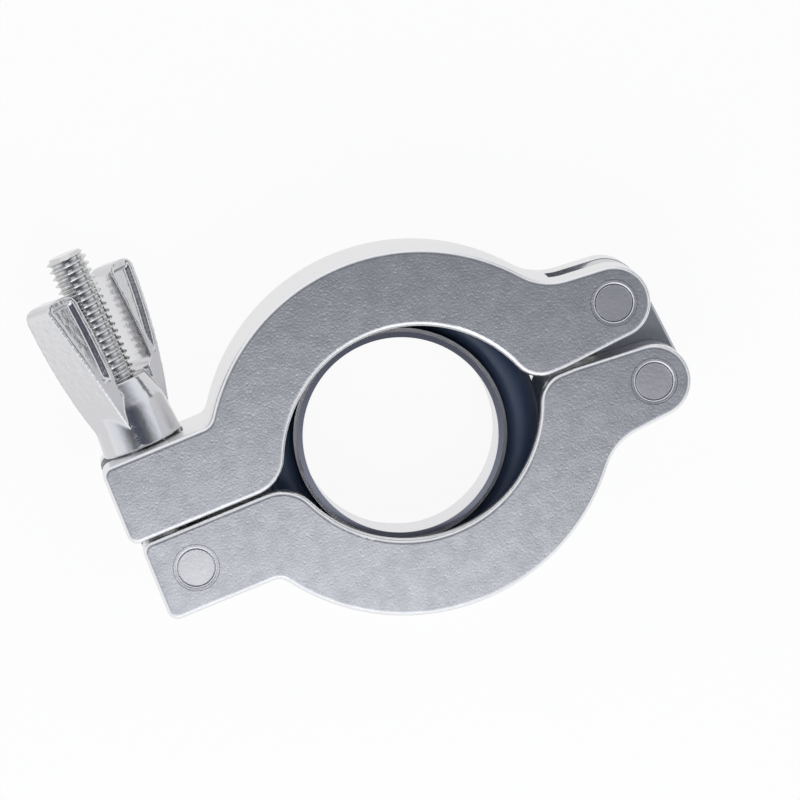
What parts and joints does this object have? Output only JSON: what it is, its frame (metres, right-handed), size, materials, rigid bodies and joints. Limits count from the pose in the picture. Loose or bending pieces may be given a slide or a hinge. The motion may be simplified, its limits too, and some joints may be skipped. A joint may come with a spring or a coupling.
{
  "type": "kf flange clamp",
  "caption": "Hinged two-part clamp for small vacuum flanges, closed by a swing bolt and wing nut, with its centring ring and O-ring.",
  "frame": {"origin": "centre of the centring ring's bore, in the clamp's middle plane", "axes": "+Z along the flow axis, out of the front faces; +X towards the hinge; +Y towards the half that the wing nut presses on"},
  "size_m": [0.0712, 0.0575, 0.016],
  "materials": {
    "cast_steel": "investment-cast stainless steel, tumbled to a fine satin grain",
    "link_steel": "as-cast stainless steel, slightly rough",
    "pin_steel": "ground stainless steel rod",
    "bolt_steel": "rolled stainless thread",
    "nut_steel": "cast stainless steel, polished",
    "ring_steel": "fine-turned stainless steel",
    "seal_rubber": "smooth blue-black fluorocarbon rubber"
  },
  "bodies": {
    "lower_clamp": {"lower_half": "cast_steel", "lower_hinge_pin": "pin_steel", "bolt_pin": "pin_steel", "centering_ring": "ring_steel", "o_ring": "seal_rubber"},
    "link": {"hinge_link": "link_steel"},
    "upper_clamp": {"upper_half": "cast_steel", "upper_hinge_pin": "pin_steel"},
    "bolt": {"swing_bolt": "bolt_steel"},
    "nut": {"wing_nut": "nut_steel"}
  },
  "joints": [
    {"name": "bolt_swing", "type": "hinge", "parent": "lower_clamp", "child": "bolt", "pos_m": [-0.02892, -0.00494, 0], "axis": [0, 0, 1], "range_deg": [0, 70]},
    {"name": "nut_travel", "type": "slide", "parent": "bolt", "child": "nut", "axis": [0, 1, 0], "range_m": [0, 0.02]},
    {"name": "link_swing", "type": "hinge", "parent": "lower_clamp", "child": "link", "pos_m": [0.0307, -0.00517, 0], "axis": [0, 0, -1], "range_deg": [0, 4]},
    {"name": "upper_swing", "type": "hinge", "parent": "link", "child": "upper_clamp", "pos_m": [0.0297, 0.00553, 0], "axis": [0, 0, -1], "range_deg": [0, 8]}
  ],
  "couplings": [
    {"joint": "nut_travel", "follows": "bolt_swing", "m_per_rad": 0.01637},
    {"joint": "link_swing", "follows": "bolt_swing", "ratio": 0.057143},
    {"joint": "upper_swing", "follows": "bolt_swing", "ratio": 0.11429}
  ]
}
